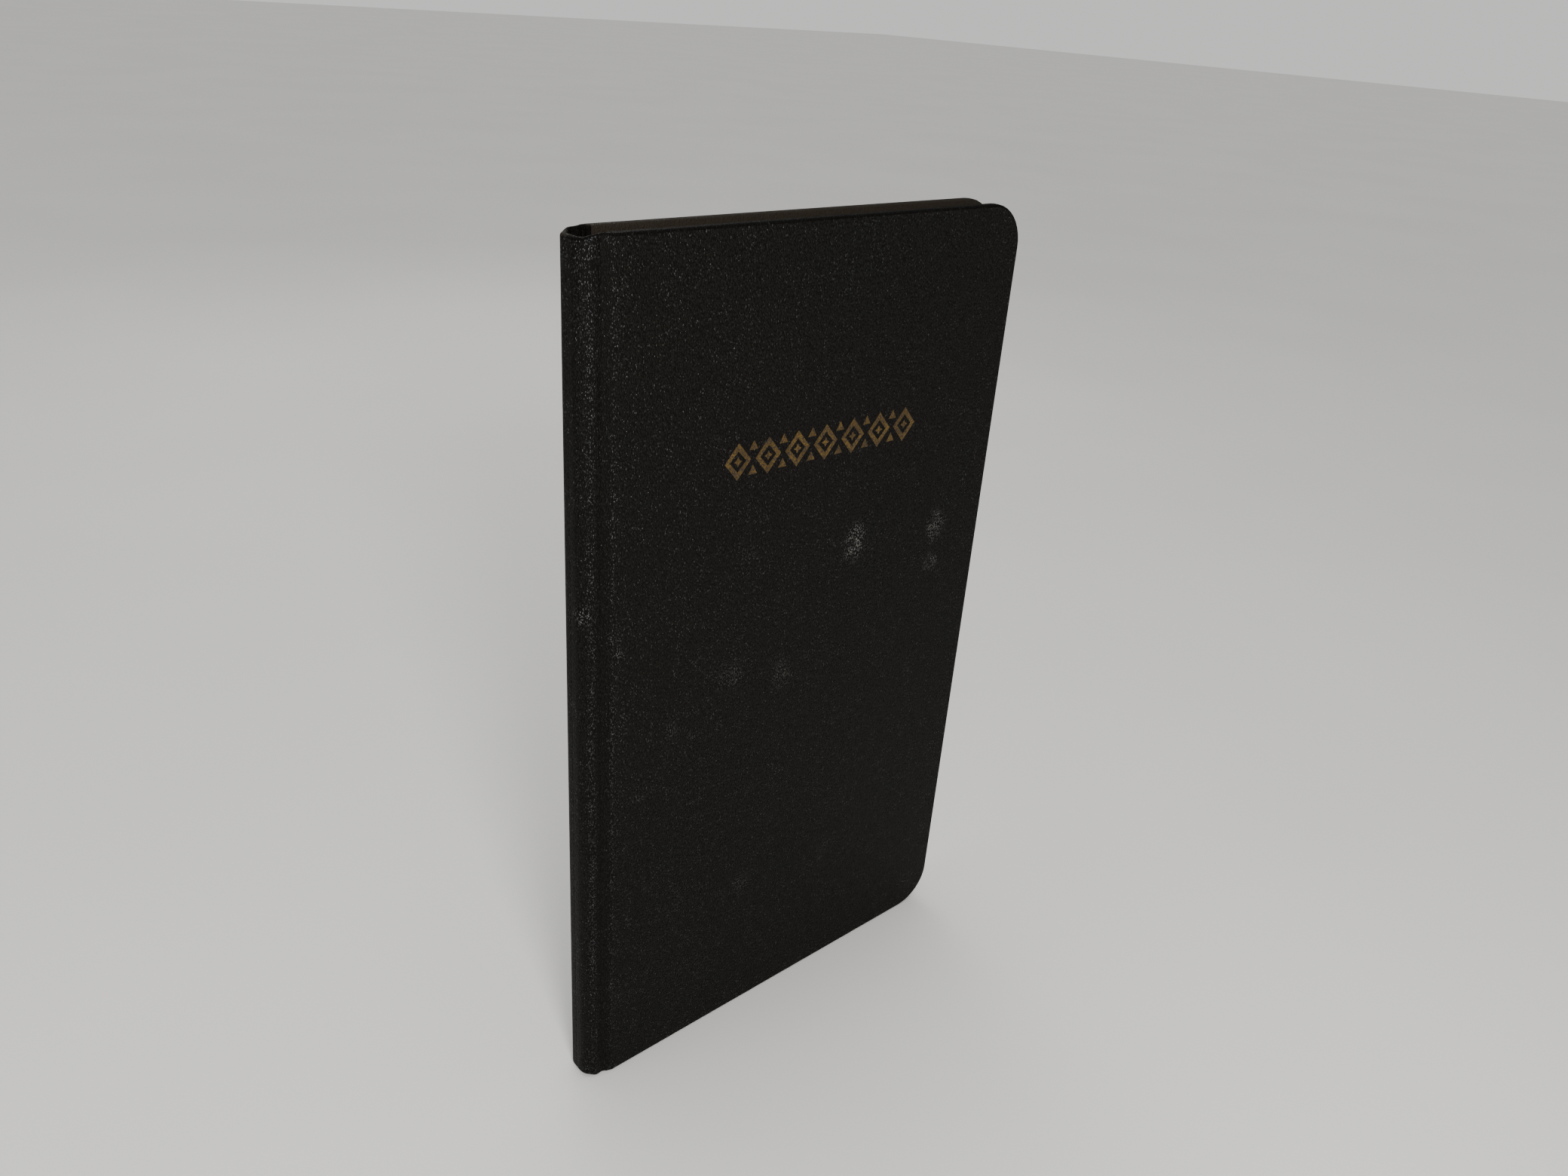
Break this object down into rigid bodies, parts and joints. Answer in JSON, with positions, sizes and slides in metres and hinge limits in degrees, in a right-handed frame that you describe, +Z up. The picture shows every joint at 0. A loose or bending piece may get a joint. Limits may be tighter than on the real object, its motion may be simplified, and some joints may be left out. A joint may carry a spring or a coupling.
{
  "type": "prayer book",
  "caption": "Closed pocket prayer book with a hinged stiff case, rounded fore-edge corners, endpapers and sewn sections of thin leaves that fan as a cover opens.",
  "frame": {"origin": "centre of the closed book's box at its lowest face, between the feet of the two boards", "axes": "+Z up from tail to head, +X from the spine to the fore-edge, +Y from the front cover to the back cover"},
  "size_m": [0.089, 0.0078, 0.1524],
  "materials": {
    "grained_cloth": "fine pebble-grained black leather-look cloth, semi-matt",
    "greyboard": "matt greyboard",
    "spine_card": "matt card",
    "endpaper": "matt uncoated cream endpaper",
    "page_paper": "matt thin cream page paper",
    "mull_gauze": "open cotton gauze stiffened with glue",
    "linen_thread": "waxed linen thread",
    "kraft_lining": "brown kraft paper"
  },
  "bodies": {
    "spine": {"spine_cloth": "grained_cloth", "spine_inlay": "spine_card", "sewing_thread": "linen_thread", "spine_mull": "mull_gauze", "spine_lining": "kraft_lining"},
    "front_cover": {"front_cover_cloth": "grained_cloth", "front_board": "greyboard", "front_mull_flap": "mull_gauze", "front_pastedown": "endpaper"},
    "front_flyleaf": {"front_flyleaf": "endpaper"},
    "back_cover": {"back_cover_cloth": "grained_cloth", "back_board": "greyboard", "back_mull_flap": "mull_gauze", "back_pastedown": "endpaper"},
    "back_flyleaf": {"back_flyleaf": "endpaper"},
    "section_1": {"section_1_sheet_1": "page_paper", "section_1_sheet_2": "page_paper", "section_1_sheet_3": "page_paper", "section_1_sheet_4": "page_paper"},
    "section_2": {"section_2_sheet_1": "page_paper", "section_2_sheet_2": "page_paper", "section_2_sheet_3": "page_paper", "section_2_sheet_4": "page_paper"},
    "section_3": {"section_3_sheet_1": "page_paper", "section_3_sheet_2": "page_paper", "section_3_sheet_3": "page_paper", "section_3_sheet_4": "page_paper"},
    "section_4": {"section_4_sheet_1": "page_paper", "section_4_sheet_2": "page_paper", "section_4_sheet_3": "page_paper", "section_4_sheet_4": "page_paper"},
    "section_5": {"section_5_sheet_1": "page_paper", "section_5_sheet_2": "page_paper", "section_5_sheet_3": "page_paper", "section_5_sheet_4": "page_paper"},
    "section_6": {"section_6_sheet_1": "page_paper", "section_6_sheet_2": "page_paper", "section_6_sheet_3": "page_paper", "section_6_sheet_4": "page_paper"}
  },
  "joints": [
    {"name": "front_cover_hinge", "type": "hinge", "parent": "spine", "child": "front_cover", "pos_m": [-0.0421, -0.00322, 0.0762], "axis": [0, 0, -1], "range_deg": [0, 178]},
    {"name": "front_flyleaf_turn", "type": "hinge", "parent": "spine", "child": "front_flyleaf", "pos_m": [-0.04195, -0.00201, 0.0762], "axis": [0, 0, -1], "range_deg": [0, 88.4]},
    {"name": "section_1_turn", "type": "hinge", "parent": "spine", "child": "section_1", "pos_m": [-0.04195, -0.00201, 0.0762], "axis": [0, 0, -1], "range_deg": [0, 86.6]},
    {"name": "section_2_turn", "type": "hinge", "parent": "spine", "child": "section_2", "pos_m": [-0.04195, -0.00201, 0.0762], "axis": [0, 0, -1], "range_deg": [0, 58.1]},
    {"name": "section_3_turn", "type": "hinge", "parent": "spine", "child": "section_3", "pos_m": [-0.04195, -0.00201, 0.0762], "axis": [0, 0, -1], "range_deg": [0, 29.7]},
    {"name": "back_cover_hinge", "type": "hinge", "parent": "spine", "child": "back_cover", "pos_m": [-0.0421, 0.00322, 0.0762], "axis": [0, 0, 1], "range_deg": [0, 178]},
    {"name": "back_flyleaf_turn", "type": "hinge", "parent": "spine", "child": "back_flyleaf", "pos_m": [-0.04195, 0.00201, 0.0762], "axis": [0, 0, 1], "range_deg": [0, 88.4]},
    {"name": "section_6_turn", "type": "hinge", "parent": "spine", "child": "section_6", "pos_m": [-0.04195, 0.00201, 0.0762], "axis": [0, 0, 1], "range_deg": [0, 86.6]},
    {"name": "section_5_turn", "type": "hinge", "parent": "spine", "child": "section_5", "pos_m": [-0.04195, 0.00201, 0.0762], "axis": [0, 0, 1], "range_deg": [0, 58.1]},
    {"name": "section_4_turn", "type": "hinge", "parent": "spine", "child": "section_4", "pos_m": [-0.04195, 0.00201, 0.0762], "axis": [0, 0, 1], "range_deg": [0, 29.7]}
  ],
  "couplings": [
    {"joint": "front_flyleaf_turn", "follows": "front_cover_hinge", "ratio": 0.495},
    {"joint": "section_1_turn", "follows": "front_cover_hinge", "ratio": 0.485},
    {"joint": "section_2_turn", "follows": "front_cover_hinge", "ratio": 0.325},
    {"joint": "section_3_turn", "follows": "front_cover_hinge", "ratio": 0.165},
    {"joint": "back_flyleaf_turn", "follows": "back_cover_hinge", "ratio": 0.495},
    {"joint": "section_6_turn", "follows": "back_cover_hinge", "ratio": 0.485},
    {"joint": "section_5_turn", "follows": "back_cover_hinge", "ratio": 0.325},
    {"joint": "section_4_turn", "follows": "back_cover_hinge", "ratio": 0.165}
  ]
}
